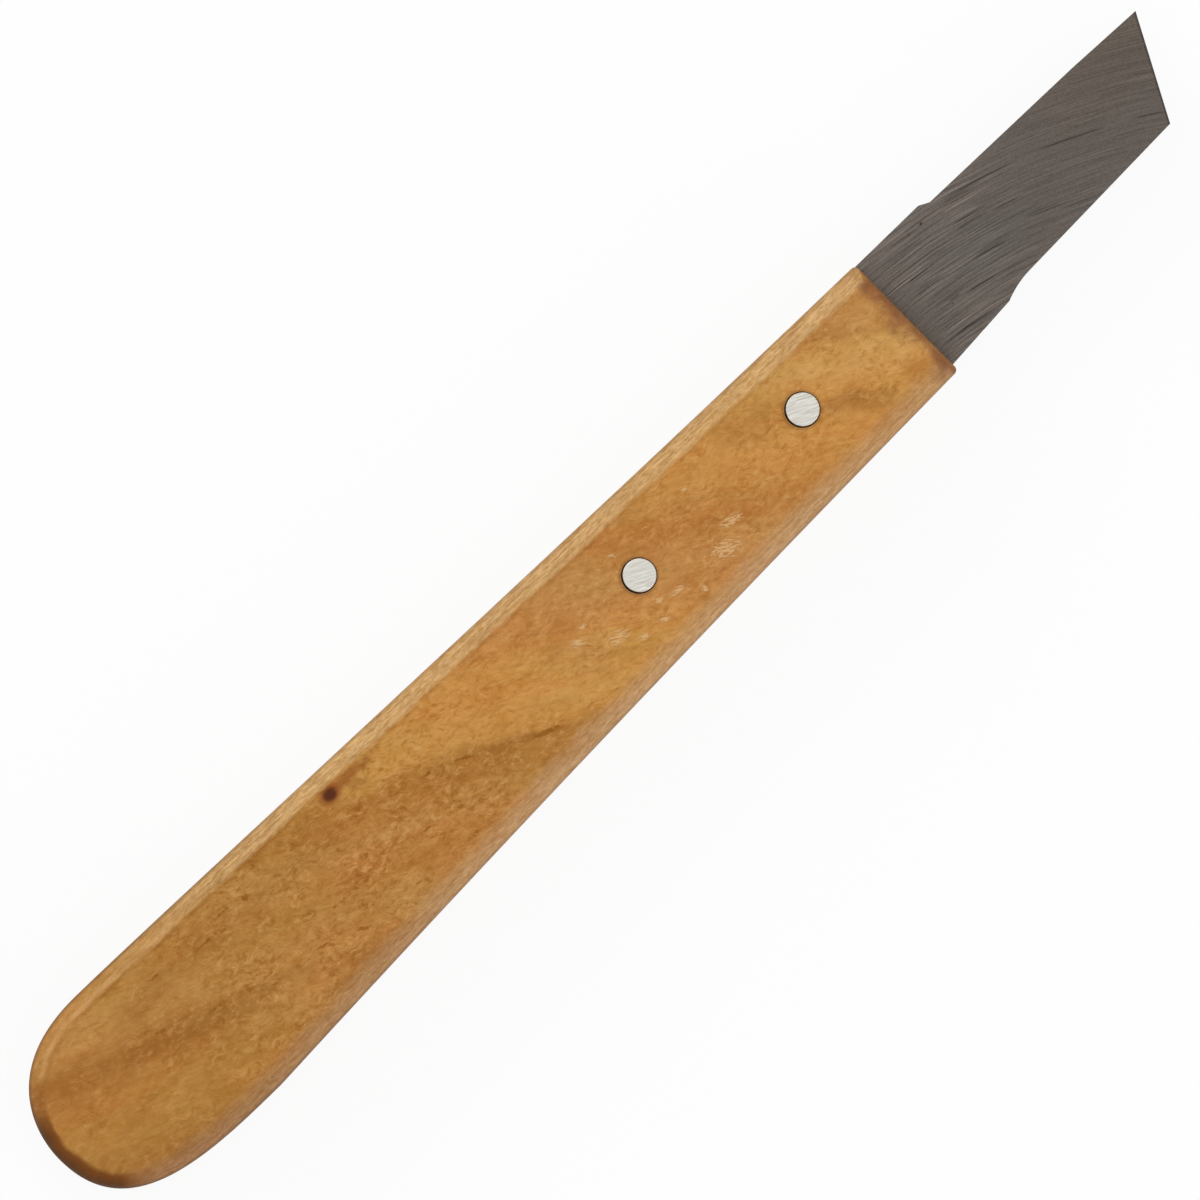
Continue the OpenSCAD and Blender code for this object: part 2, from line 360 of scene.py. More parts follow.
def bump(height, strength, depth):
    """Direction of a surface with fine relief, whose depth is in millimetres."""
    inputs = {"Strength": strength, "Distance": depth * MM, "Height": height}
    return place(height.tree, "ShaderNodeBump", inputs)


def shared_group(name, inputs, outputs, fill):
    """A shader node group, filled by a function the first time that it is asked for."""
    if name in bpy.data.node_groups:
        return bpy.data.node_groups[name]
    group = bpy.data.node_groups.new(name, "ShaderNodeTree")
    for way, sockets in (("INPUT", inputs), ("OUTPUT", outputs)):
        for socket, kind in sockets.items():
            group.interface.new_socket(socket, in_out=way, socket_type=kind)
    start = group.nodes.new("NodeGroupInput")
    end = group.nodes.new("NodeGroupOutput")
    results = fill(*(Value(group, start.outputs[socket]) for socket in inputs))
    for socket, value in zip(outputs, results):
        group.links.new(value.socket, end.inputs[socket])
    return group


def fill_patch(position, centre, half, turn):
    """How far a point is inside a turned ellipse: 1 at its middle, 0 on its rim and less outside."""
    scaled = vectors("DIVIDE", rotate(vectors("SUBTRACT", position, centre), turn), half)
    distance = place(scaled.tree, "ShaderNodeVectorMath", {0: scaled}, "Value", operation="LENGTH")
    return (1.0 - distance,)


def patch(position, centre, half, turn=0.0):
    """Reach of one ellipse, its sizes in millimetres, standing through the whole thickness."""
    sockets = {"Position": VECTOR, "Centre": VECTOR, "Half size": VECTOR, "Turn": NUMBER}
    group = shared_group("Patch", sockets, {"Reach": NUMBER}, fill_patch)
    given = (position, (*centre, 0), (*half, PATCH_HALF_HEIGHT), math.radians(turn))
    return place(position.tree, "ShaderNodeGroup", dict(zip(sockets, given)), node_tree=group)


def fill_marks(across, along, width, run):
    """Marks of a grinding wheel or a file, from how far across and along them a point is."""
    spot = combine(across / width, along / run, 0.0)
    fine = mottle(spot, 1.7, 2.0, 0.6)
    single = mottle(spot, 1.9, 0.0)
    bundle = spread(mottle(vectors("MULTIPLY", spot, (0.09, 1.2, 1.0)), 1.0, 1.0), 0.12)
    lines = (rise(single, 0.62, 0.72) - rise(single, 0.38, 0.28)) * bundle
    return fine, lines


def tool_marks(across, along, width, run):
    """Fine marks from 0 to 1, and single lines from -1, dark, to 1, bright."""
    sockets = dict.fromkeys(("Across", "Along", "Width", "Run"), NUMBER)
    group = shared_group("Tool marks", sockets, dict.fromkeys(("Fine", "Lines"), NUMBER), fill_marks)
    given = dict(zip(sockets, (across, along, width, run)))
    node = add_node(across.tree, "ShaderNodeGroup", given, node_tree=group)
    return [Value(across.tree, socket) for socket in node.outputs]


def new_material(name):
    """A material with an empty tree."""
    material = bpy.data.materials.new(name)
    material.use_nodes = True
    material.node_tree.nodes.clear()
    return material, material.node_tree


def finish_tree(shader, output="ShaderNodeOutputMaterial"):
    """Links a shader to a new output of its tree."""
    end = shader.tree.nodes.new(output)
    shader.tree.links.new(shader.socket, end.inputs[0])


def finish_surface(tint, rough, normal, **others):
    """Links a colour, a roughness and a direction to a new output, through a Principled shader."""
    inputs = {"Base Color": tint, "Roughness": rough, "Normal": normal, **others}
    finish_tree(place(tint.tree, "ShaderNodeBsdfPrincipled", inputs))


def millimetres(tree):
    """A point's place on the knife in millimetres, as a vector and as its three parts."""
    here = vectors("SCALE", place(tree, "ShaderNodeTexCoord", output="Object"), TO_MM)
    return here, split(here)


def outward(tree):
    """The three parts of a surface's own direction."""
    return split(place(tree, "ShaderNodeNewGeometry", output="Normal"))


# Materials

# The wood's figure: dark and light bands that lean over more and more towards the front. Each stop is a
# distance across the bands, in millimetres, and the tone there.
FIGURE_LEAN = 0.59
FIGURE_CURVE = 0.0015
FIGURE_TILT = 0.7
FIGURE_RANGE = (-48.0, 36.0)
FIGURE = (
    (-46.0, "red_wood"),
    (-41.5, "rear_wood"),
    (-36.5, "rear_wood"),
    (-33.2, "red_wood"),
    (-32.0, "red_wood"),
    (-29.6, "olive_wood"),
    (-26.8, "olive_wood"),
    (-24.2, "rear_wood"),
    (-19.5, "olive_wood"),
    (-16.4, "dark_wood"),
    (-13.5, "dark_wood"),
    (-11.6, "gold_wood"),
    (-4.0, "gold_wood"),
    (0.0, "warm_wood"),
    (5.0, "warm_wood"),
    (8.0, "rust_wood"),
    (15.0, "gold_wood"),
    (21.6, "gold_wood"),
    (26.0, "pale_wood"),
    (28.0, "pale_wood"),
    (30.0, "warm_wood"),
)
# Soft blotches in the figure: middle and half size in millimetres, turn in degrees, tone and strength
BLOTCHES = (
    ((-58.0, 5.5), (15.0, 2.7), -5, "red_wood", 0.5),
    ((-69.0, 5.4), (6.5, 2.4), 0, "red_wood", 0.5),
    ((-44.0, 4.6), (5.5, 2.4), -5, "red_wood", 0.45),
    ((-56.5, -6.0), (9.0, 3.4), -6, "olive_wood", 1.0),
    ((-41.0, -0.5), (6.0, 4.0), -12, "flush_wood", 0.3),
    ((-34.6, 6.6), (2.2, 1.1), -30, "red_wood", 0.8),
    ((-32.0, -7.2), (6.0, 1.8), 4, "warm_wood", 0.7),
    ((-24.0, -3.0), (4.0, 1.8), -29, "olive_wood", 0.6),
    ((-18.0, -3.1), (7.4, 0.6), -29, "streak_wood", 0.8),
    ((-6.5, -1.0), (5.6, 2.8), -45, "flush_wood", 0.45),
    ((25.0, 4.0), (9.0, 3.4), -15, "olive_wood", 0.6),
    ((11.0, -4.6), (5.0, 1.8), -10, "rust_wood", 0.5),
    ((34.9, -2.3), (6.2, 1.9), -35, "red_wood", 0.75),
    ((38.5, 5.1), (2.8, 1.6), -30, "rust_wood", 0.8),
    ((13.7, 2.8), (2.4, 1.2), -50, "rust_wood", 0.7),
    ((12.2, -0.8), (2.6, 1.7), -20, "rust_wood", 0.6),
    ((42.4, -4.8), (2.2, 3.0), 0, "rust_wood", 0.75),
    ((38.0, -6.2), (8.0, 1.5), 0, "rust_wood", 0.6),
)
# Creases in the grain of the upper face: middle and half size in millimetres, and turn in degrees
CREASES = (
    ((-59.1, 5.6), (1.6, 0.26), -3),
    ((-55.3, 6.7), (1.5, 0.24), -3),
    ((-65.8, 6.9), (0.9, 0.24), 0),
    ((-57.4, 5.3), (0.6, 0.4), -50),
    ((-52.4, 6.1), (0.8, 0.5), -40),
    ((-45.3, -1.75), (1.3, 0.24), -3),
    ((-50.2, -3.8), (1.2, 0.22), -15),
    ((-45.4, -5.6), (1.3, 0.24), -25),
    ((-39.4, 0.0), (0.4, 0.6), 0),
    ((-32.8, -2.65), (1.2, 0.2), -8),
    ((-29.4, -6.85), (1.1, 0.3), 0),
    ((-28.3, 1.6), (1.4, 0.22), -15),
    ((-24.2, 0.1), (1.6, 0.24), -28),
    ((-69.5, 2.0), (1.4, 0.26), -20),
    ((-63.6, -0.4), (1.2, 0.26), -10),
    ((-15.7, -4.3), (2.6, 0.34), -20),
    ((-19.5, -7.75), (2.4, 0.26), 4),
    ((-12.6, -7.5), (1.4, 0.22), 2),
)
# Pale scuffs on the upper face: middle and half size in millimetres, and turn in degrees
SCUFFS = (
    ((-2.4, -2.4), (1.5, 1.0), -20),
    ((13.0, -3.9), (2.1, 1.3), -30),
    ((15.7, -2.0), (1.6, 0.7), -15),
    ((5.9, -3.3), (1.1, 0.5), -10),
    ((3.6, -2.6), (0.7, 0.4), -20),
    ((2.7, -4.6), (0.8, 0.5), -20),
    ((8.2, -5.3), (0.6, 0.4), -60),
    ((-6.0, 0.2), (1.1, 0.6), -20),
    ((-0.5, -4.4), (0.9, 0.45), -10),
    ((-4.4, 1.2), (0.6, 0.3), -10),
    ((14.2, 4.2), (0.7, 0.25), -10),
    ((3.3, 4.5), (0.6, 0.4), -10),
)
KNOT = (-37.6, 7.65)
# Half size of the darker ring in the wood round each rivet, and how far it lies towards the butt, in
# millimetres
DARK_RING_HALF = (2.45, 2.45)
DARK_RING_SHIFT = 0.15
# Turns of the raised grain and of the strokes in a scuff, in degrees
GRAIN_TURN = -14
STROKE_TURN = -30
# Casts that multiply the wood's tone, each where its noise is low and where it is high
DRIFT_CASTS = ((1.03, 0.965, 0.95), (0.98, 1.045, 1.04))
TINGE_CASTS = ((0.935, 0.895, 0.81), (1.065, 1.105, 1.2))
HAIR_CASTS = ((0.95, 0.94, 0.92), (1.05, 1.06, 1.08))
EDGE_CASTS = ((0.7, 0.6, 0.42), (1.3, 1.42, 1.66))
# Stretch of X in millimetres over which the spine edge, painted paler as a painted sheen, takes on its tone
# by the butt
REAR_FADE = (-80.0, -46.0)
# Strength, and depth in millimetres, of the wood's raised grain
WOOD_RELIEF = (0.6, 0.32)
# Oiled wood shines only a little
WOOD_SHEEN = {"Specular IOR Level": 0.08}
# Added to a length before anything is divided by it, because it can be 0
TINY = 0.001


def figure_place(x, y, z):
    """Distance across the figure's bands in millimetres, before they are bent."""
    depth = z - handle_high.z * TO_MM
    return y + x * FIGURE_LEAN + (x * x * FIGURE_CURVE + depth * FIGURE_TILT)


def figure_tones(bent, s):
    """Tone of the figure at a distance across its bands."""
    low, high = FIGURE_RANGE
    ramp = add_node(bent.tree, "ShaderNodeValToRGB", {0: (bent - low) / (high - low)})
    stops = ramp.color_ramp.elements
    while len(stops) < len(FIGURE):
        stops.new(0.5)
    for stop, (distance, wood) in zip(stops, FIGURE):
        stop.position = (distance - low) / (high - low)
        stop.color = (*getattr(s, wood), 1)
    return Value(bent.tree, ramp.outputs[0])


def turned(here, degrees):
    """Distances along, beside and above a direction that is turned about the vertical."""
    return rotate(here, math.radians(-degrees))


def add_knot(here, wood, s):
    """The knot, with stained wood trailing from it towards the blade."""
    ragged = swing(mottle(here, 1.2, 3.0), 1.0)
    trail = patch(here, (KNOT[0] + 2.6, KNOT[1] + 0.05), (5.8, 1.0), 2) + ragged
    wood = blend(rise(trail, 0.0, 0.8, 0.0, 0.68), wood, s.halo_wood)
    ring = patch(here, KNOT, (2.0, 1.6))
    wood = blend(rise(ring, 0.0, 0.6, 0.0, 0.75), wood, s.halo_wood)
    heart = patch(here, KNOT, (1.2, 1.05)) + ragged * 0.35
    return blend(rise(heart, 0.0, 0.55, 0.0, 0.92), wood, s.knot_wood)


def add_blotches(here, wood, s):
    """Soft blotches where the figure has another tone."""
    ragged = swing(mottle(here, 0.55, 3.0), 1.4)
    for middle, half, turn, name, strength in BLOTCHES:
        reach = patch(here, middle, half, -turn) + ragged
        wood = blend(rise(reach, 0.0, 0.8, 0.0, strength), wood, getattr(s, name))
    return wood


def nearest_reach(here, spots):
    """Reach into whichever of several turned ellipses a point is deepest in."""
    return largest(patch(here, middle, half, -turn) for middle, half, turn in spots)


def on_upper_face(z):
    """1 on the upper face and 0 below it."""
    top = handle_high.z * TO_MM
    return rise(z, top - 0.5, top - 0.1)


def scuff_mask(here, z):
    """Torn strokes in the finish, on the upper face alone."""
    reach = nearest_reach(here, SCUFFS)
    strokes = stretched(turned(here, STROKE_TURN), (0.85, 0.21, 1.0), 3.0, 0.65)
    torn = reach + (strokes * 5.4 - 2.75)
    return rise(torn, 0.0, 0.75, 0.0, 0.9) * rise(reach, -0.2, 0.3) * on_upper_face(z)


def crease_mask(here, z):
    """Creases in the grain of the upper face."""
    reach = nearest_reach(here, CREASES) + (mottle(here, 2.4, 3.0) * 3.0 - 1.6)
    return rise(reach, 0.0, 0.8) * on_upper_face(z)


def edge_masks(here, x, y):
    """Where the spine bevel, the belly rounding and the butt are, and the lines along them: painted shade
    beside the bevel, a painted highlight at its inner border and painted shade along the outline.
    """
    rim = place(x.tree, "ShaderNodeAttribute", output="Fac", attribute_name=RIM)
    rough_rim = rim + swing(stretched(here, (1.5, 0.5, 0.5), 4.0, 0.65), 0.8)
    soft_rim = rim + swing(stretched(here, (2.5, 2.5, 2.5)), 0.6)
    out_x, out_y, _ = outward(x.tree)
    # How far a surface looks towards the point, whatever its slope
    facing = out_x / (hypotenuse(out_x, out_y) + TINY)
    long_side = rise(abs(facing), 0.35, 0.8, 1.0, 0.0)
    spine_side = rise(y, -3.0, 3.0)
    # Where the painted sheen of the spine edge goes
    spine = rise(rough_rim, -0.35, 0.4) * spine_side * long_side
    # Where the painted sheen of the belly edge goes
    belly = rise(soft_rim, -0.4, 0.8) * (1.0 - spine_side) * long_side
    towards_belly = facing + rise(y, -2.0, 7.0, 0.0, 0.34)
    # Where the butt's darker end grain and painted shade go
    butt = rise(soft_rim, -0.25, 0.35) * rise(towards_belly, -0.35, -0.78)
    # Painted shade on the outermost part of every edge and on the side walls, all round the outline
    outline_shade = rise(rim, 0.8, 1.0) * rise(x, -70.0, -30.0, 0.6, 0.35)
    rim_share = rise(soft_rim, 0.3, 0.95)
    broken = rise(stretched(here, (4.0, 1.0, 1.0), 3.0), 0.3, 0.65)
    # Painted shade on the flat face just inside the spine bevel, in broken stretches
    inside = rise(rough_rim, -1.0, -0.3) * rise(rough_rim, -0.1, 0.2, 1.0, 0.0)
    bevel_shade = inside * spine_side * long_side * broken
    # Painted highlight along the inner part of the spine bevel, in broken stretches
    ridge_highlight = spine * rise(rough_rim, 0.3, 0.6, 1.0, 0.0) * broken
    return spine, belly, butt, rim_share, bevel_shade, ridge_highlight, outline_shade


def add_edges(here, x, y, wood, s):
    """Rounded edges, streaked and painted paler as a painted sheen, with painted shade beside the spine
    bevel, a painted highlight at its inner border, darker end grain with painted shade at the butt, and
    painted shade along the outline.
    """
    spine, belly, butt, rim_share, bevel_shade, ridge_highlight, outline_shade = edge_masks(here, x, y)
    streaks = stretched(here, (2.6, 0.26, 0.26), 4.0, 0.65)
    flecks = stretched(here, (0.8, 0.36, 0.36), 3.0, 0.65)
    edge_cast = blend(spread(streaks * 0.55 + flecks * 0.45, 0.16), *EDGE_CASTS)
    # Strength of the painted sheen on the spine edge, weaker towards the butt
    rubbed = rise(x, *REAR_FADE, 0.22, 0.82)
    # Strength of the painted sheen on the belly edge
    worn = rise(x, -75.0, -10.0, 0.7, 0.86) * rise(x, 20.0, 36.0, 1.0, 0.85)
    sheen_patches = stretched(here, (2.4, 0.8, 0.8), 3.0, 0.6)
    # Tone of the painted sheen on the spine edge, in uneven patches
    brightened = blend(rise(x, *REAR_FADE), s.spine_sheen_rear, s.spine_sheen)
    brightened = brighten(brightened, spread(sheen_patches, 0.2, 0.88, 1.12))
    # Tone of the painted sheen on the belly edge
    belly_sheen_tone = blend(rise(x, -82.0, -20.0), s.belly_sheen_rear, s.belly_sheen)
    # Painted shade beside the spine bevel
    wood = blend(bevel_shade * rise(x, -30.0, 10.0, 0.5, 0.28), wood, s.pore_and_shade_wood)
    wood = blend(spine * rubbed, wood, multiply(brightened, edge_cast))
    # Painted highlight on the spine bevel, strongest by the butt
    wood = blend(ridge_highlight * rise(x, -72.0, -50.0, 0.5, 0.22), wood, s.scuff_and_highlight_wood)
    wood = blend(belly * worn, wood, multiply(belly_sheen_tone, edge_cast, 0.8))
    # Darker end grain with painted shade at the butt, darker still towards the outline
    wood = blend(butt * 0.94, wood, blend(rim_share, s.end_grain_and_shade, s.rim_shade_wood))
    # Painted shade along the outline
    return blend(outline_shade, wood, s.rim_shade_wood)


def add_dark_rings_and_front(here, x, y, wood, s):
    """Darker ring round each rivet, widest towards the butt, and darker wood along the front."""
    for name in pin_boxes:
        middle = pin_middle(name) * TO_MM - Vector((DARK_RING_SHIFT, 0))
        wood = blend(rise(patch(here, middle, DARK_RING_HALF), 0.0, 0.15, 0.0, 0.35), wood, s.knot_wood)
    ragged = stretched(here, (2.2, 2.6, 2.6), 3.0) * 5.0 + x
    below_bevel = rise(y, 6.0, 7.4, 1.0, 0.25)
    front = rise(ragged, 45.2, 48.0, 0.0, 0.95) * rise(x, 44.9, 45.3, 1.0, 0.75) * below_bevel
    return blend(front, wood, s.front_wood)


def oiled_wood(s):
    """Oiled wood with a leaning figure, short pores, a small knot and scuffs in its finish, with painted
    sheen, highlights and shade on its raised grain and edges.
    """
    material, tree = new_material("oiled_wood")
    here, (x, y, z) = millimetres(tree)
    across = figure_place(x, y, z)
    # The bands wander a little, most of all in streaks along themselves, and bend round the knot
    slow = swing(mottle(here, 0.05, 1.0), 2.4)
    quick = swing(stretched(combine(across, x, z), (1.1, 11.0, 4.0), 3.0), 2.8)
    beside_knot = patch(here, (KNOT[0] + 2.5, KNOT[1] - 2.0), (6.0, 4.0))
    bent = across + slow + (quick + rise(beside_knot, 0.0, 1.0, 0.0, 1.3))
    bands = combine(bent, x, z)
    wood = add_blotches(here, figure_tones(bent, s), s)
    # Slow drift between red and olive
    drift = stretched(bands, (6.0, 22.0, 8.0))
    wood = multiply(wood, blend(spread(drift, 0.2), *DRIFT_CASTS))
    # Soft blotches of orange and gold, and fibres along the bands
    grain = turned(here, GRAIN_TURN)
    blotches = stretched(grain, (3.6, 1.9, 2.0), 3.0, 0.6)
    wood = multiply(wood, blend(spread(blotches, 0.2), *TINGE_CASTS))
    fibres = stretched(bands, (0.45, 4.0, 1.0), 3.0, 0.6)
    wood = brighten(wood, spread(fibres, 0.3, 0.93, 1.07))
    # Raised grain: soft lumps with hollows beside them, nearly rubbed smooth towards the butt. The lumps are
    # real relief in the bump, and their hollows and crests also get painted shade and a painted highlight
    grain = vectors("ADD", grain, combine(0.0, swing(mottle(here, 0.45, 1.0), 1.6), 0.0))
    lumps = stretched(grain, (0.92, 0.56, 0.56), 4.0, 0.67)
    raised = rise(x, -76.0, -54.0, 0.55, 1.0)
    patchy = raised * spread(mottle(here, 0.3), 0.2, 0.5, 1.4)
    # Painted shade in the hollows and a painted highlight on the crests, following the relief of the bump
    hollow_shade = patchy * rise(x, -30.0, -16.0, 0.46, 0.3) * rise(lumps, 0.5, 0.33)
    crest_highlight = patchy * rise(lumps, 0.5, 0.68, 0.0, 0.4)
    wood = blend(hollow_shade, wood, s.pore_and_shade_wood)
    wood = blend(crest_highlight, wood, s.grain_highlight_wood)
    hairs = stretched(grain, (0.7, 0.2, 0.3), 2.0, 0.6)
    wood = multiply(wood, blend(spread(hairs, 0.2), *HAIR_CASTS), raised)
    # A few short creases nearly along the handle
    dashes = stretched(grain, (1.5, 0.24, 0.3), 2.0, 0.55)
    clusters = spread(mottle(here, 0.22), 0.2, 0.78, 0.66)
    creases = raised * rise(x, -26.0, -12.0, 1.0, 0.2) * rise(dashes - clusters, 0.0, 0.12)
    creases = largest((creases, crease_mask(here, z)))
    wood = blend(creases * 0.66, wood, s.pore_and_shade_wood)
    wood = add_knot(here, wood, s)
    scuffs = scuff_mask(here, z)
    wood = blend(scuffs, wood, s.scuff_and_highlight_wood)
    wood = add_edges(here, x, y, wood, s)
    wood = add_dark_rings_and_front(here, x, y, wood, s)
    height = fibres * 0.3 + lumps * raised + (scuffs - creases) * 0.3
    rough = spread(blotches, 0.3, 0.42, 0.54) + creases * 0.2
    finish_surface(wood, rough, bump(height, *WOOD_RELIEF), **WOOD_SHEEN)
    return material


# The grinding marks are arcs about one point. The deepest have their own middle and half length along X, in
# millimetres, and depth.
WHEEL_CENTRE = (38.5, -72.0)
DEEP_MARKS = (
    ((62.8, 5.45), 4.4, 0.9),
    ((71.2, 2.4), 2.6, 1.0),
    ((73.8, 1.15), 2.8, 0.9),
    ((57.2, -0.7), 3.0, 1.0),
    ((54.2, -2.8), 2.8, 1.0),
    ((50.8, -1.75), 1.0, 0.9),
    ((50.1, -5.3), 4.8, 1.0),
    ((80.6, -2.6), 2.0, 0.9),
    ((49.5, 4.1), 4.4, 0.6),
    ((62.2, 1.6), 2.0, 0.8),
    ((68.1, -3.85), 2.4, 0.6),
    ((63.2, -2.5), 2.8, 0.5),
    ((83.5, 5.1), 2.6, 0.4),
)
PITS = (((53.9, 6.7), (0.34, 0.18), -20), ((50.2, -2.1), (0.14, 0.09), 0))
# Width of the dark line along the cutting edge in millimetres, a painted reflection over the honed strip
HONED_REFLECTION_WIDTH = 0.32
# Width and run of the grinding marks, in millimetres
GROUND_MARKS = (0.3, 14.0)
# Strength, and depth in millimetres, of the grinding marks
STEEL_RELIEF = (0.5, 0.02)


def deepest_marks(here, across, x, fine):
    """The deepest grinding marks and the pits."""
    marks = []
    for middle, half, depth in DEEP_MARKS:
        gap = abs(across - math.dist(middle, WHEEL_CENTRE))
        aside = abs(x - middle[0])
        marks.append(rise(gap, 0.03, 0.12, depth, 0.0) * rise(aside, 0.3 * half, half, 1.0, 0.0))
    worn = largest(marks) * rise(fine, 0.25, 0.5, 0.5, 1.0)
    return largest((worn, *(rise(patch(here, *pit), 0.0, 0.5) for pit in PITS)))


def honed_strip_reflection(x, y, s, tip):
    """The dark line along the cutting edge, a painted reflection over the honed strip."""
    skew = Vector((math.sin(s.skew), -math.cos(s.skew)))
    edge = skew.dot(tip) * TO_MM
    return rise(x * skew.x + y * skew.y, edge - HONED_REFLECTION_WIDTH, edge - 0.5 * HONED_REFLECTION_WIDTH)


def ground_steel(s, tip):
    """Dark ground steel, with the arcs that the wheel left across it, and a painted dark reflection along the
    cutting edge.
    """
    material, tree = new_material("ground_steel")
    here, (x, y, z) = millimetres(tree)
    side = x - WHEEL_CENTRE[0]
    up = y - WHEEL_CENTRE[1]
    across = hypotenuse(side, up) + swing(mottle(here, 0.12, 1.0), 0.3)
    along = maths("ARCTAN2", side, up) * -WHEEL_CENTRE[1]
    # On the blade's sides the marks run along its length instead
    flat = rise(abs(outward(tree)[2]), 0.1, 0.3)
    fine, lines = tool_marks(flat * (across - z) + z, flat * (along - x) + x, *GROUND_MARKS)
    warm = rise(x, 66.0, 84.0) * rise(y, -3.0, 5.0)
    cool = rise(patch(here, (57.0, 0.0), (12.0, 6.0), 10), 0.0, 0.8)
    steel = blend(cool * 0.4, s.steel, s.cool_steel)
    steel = blend(warm * 0.8, steel, s.warm_steel)
    # The marks are strongest by the handle and finer towards the point
    strength = rise(x, 56.0, 68.0, 1.3, 0.5)
    marks = lines * 0.4 + spread(fine, 0.22, -0.26, 0.28)
    grain = swing(mottle(here, 3.2, 3.0, 0.65), 0.64)
    plain = grain + rise(x, 54.0, 68.0, 1.02, 0.92)
    steel = brighten(steel, marks * strength + plain)
    # The deepest grinding marks, with the painted dark reflection along the cutting edge
    dark_lines = largest((deepest_marks(here, across, x, fine), honed_strip_reflection(x, y, s, tip) * 0.6))
    steel = blend(dark_lines * 0.85, steel, s.mark_and_reflection_steel)
    height = lines * 0.4 + fine - dark_lines
    finish_surface(steel, spread(fine, 0.3, 0.36, 0.52), bump(height, *STEEL_RELIEF), Metallic=1.0)
    return material


# Turn in degrees, width and run in millimetres, and strength and depth of the file marks on the rivets
FILE_TURN = -27
FILE_MARKS = (0.22, 4.0)
FILE_RELIEF = (0.2, 0.02)


def filed_aluminium(s):
    """Bright aluminium, with file marks across each end."""
    material, tree = new_material("filed_aluminium")
    here, _ = millimetres(tree)
    along, across, _ = split(turned(here, FILE_TURN))
    fine, lines = tool_marks(across, along, *FILE_MARKS)
    marks = maths("ADD", spread(fine, 0.2, 0.0, 0.52), lines * -0.42, clamp=True)
    metal = blend(marks, s.metal, s.shade)
    finish_surface(metal, spread(fine, 0.3, 0.34, 0.5), bump(fine, *FILE_RELIEF), Metallic=1.0)
    return material


def seen_directly(tree):
    """Light Path test: 1 for a ray from the camera, and for one that metal or glass shows."""
    path = tree.nodes.new("ShaderNodeLightPath")
    rays = ("Is Camera Ray", "Is Glossy Ray", "Is Transmission Ray")
    return largest(Value(tree, path.outputs[ray]) for ray in rays)


def pale_floor(s):
    """White floor that keeps a soft shadow."""
    material, tree = new_material("pale_floor")
    shaded = place(tree, "ShaderNodeBsdfDiffuse", {"Color": (*s.floor_colour, 1)})
    white = place(tree, "ShaderNodeEmission", {"Color": WHITE, "Strength": 1.0})
    plain = seen_directly(tree) * (1.0 - s.shadow)
    finish_tree(place(tree, "ShaderNodeMixShader", {0: plain, 1: shaded, 2: white}))
    return material


# Mesh helpers

# How far a cutter reaches past what it cuts
CUT_MARGIN = 2 * MM
# Sides of each round hole and of each pin
ROUND_SIDES = 96
# Angles in degrees above which an edge is drawn sharp
HANDLE_SHARP = 40
BLADE_SHARP = 25
PIN_SHARP = 50


def new_piece(name, bm, material):
    """An object made from a bmesh, in the scene, with one material."""
    mesh = bpy.data.meshes.new(name)
    bm.to_mesh(mesh)
    bm.free()
    piece = bpy.data.objects.new(name, mesh)
    bpy.context.scene.collection.objects.link(piece)
    if material is not None:
        mesh.materials.append(material)
    return piece


def carve(piece, cutters):
    """Cuts solids out of a piece, and removes the cutters."""
    for cutter in cutters:
        cut = piece.modifiers.new("cut", "BOOLEAN")
        cut.operation = "DIFFERENCE"
        cut.solver = "EXACT"
        cut.object = cutter
    shaped = piece.evaluated_get(bpy.context.evaluated_depsgraph_get())
    mesh = bpy.data.meshes.new_from_object(shaped)
    piece.modifiers.clear()
    piece.data = mesh
    for cutter in cutters:
        bpy.data.objects.remove(cutter)


def shade(piece, sharp_degrees):
    """Smooth shading, with edges above an angle left sharp."""
    piece.data.shade_smooth()
    piece.data.set_sharp_from_angle(angle=math.radians(sharp_degrees))


def dress(piece, node):
    """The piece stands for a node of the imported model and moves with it."""
    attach(piece, "root")
    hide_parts(node)


def block(low, high):
    """A plain box to cut with."""
    bm = bmesh.new()
    size = Vector(high) - Vector(low)
    middle = (Vector(high) + Vector(low)) / 2
    matrix = Matrix.Translation(middle) @ Matrix.Diagonal((*size, 1))
    bmesh.ops.create_cube(bm, size=1.0, matrix=matrix)
    return new_piece("cutter", bm, None)


def drill(centre, radius, low, high):
    """An upright round bar to cut with, from a margin below one height to a margin above another."""
    bm = bmesh.new()
    middle = Vector((*centre, (low + high) / 2))
    depth = high - low + 2 * CUT_MARGIN
    bmesh.ops.create_cone(
        bm, cap_ends=True, segments=ROUND_SIDES, radius1=radius, radius2=radius, depth=depth,
        matrix=Matrix.Translation(middle),
    )
    return new_piece("cutter", bm, None)


def skin(bm, rings):
    """A closed skin over rings of points. Gives the faces between each two rings, and the two end faces."""
    rows = [[bm.verts.new(point) for point in ring] for ring in rings]
    bands = []
    for lower, higher in zip(rows, rows[1:]):
        corners = zip(lower, lower[1:] + lower[:1], higher[1:] + higher[:1], higher)
        bands.append([bm.faces.new(four) for four in corners])
    return bands, [bm.faces.new(rows[0][::-1]), bm.faces.new(rows[-1])]


def pin_middle(name):
    """Middle of a rivet, seen from above."""
    low, high = pin_boxes[name]
    return ((low + high) / 2).xy


# Handle

# How far the inner points of the outline's curves are pulled, as shares of each curve's run
SPINE_PULLS = (0.38, 0.095)
BELLY_PULLS = (0.58, 0.01)
BUTT_SPINE_FULL = (0.83, 0.36)
BUTT_BELLY_FULL = (0.5, 0.97)
# Power of the curve of an edge's section: 1 is a flat bevel and 2 is a quarter round
ROUNDNESS = {"spine": 1.4, "butt": 1.7, "belly": 2.0, "front": 2.0}
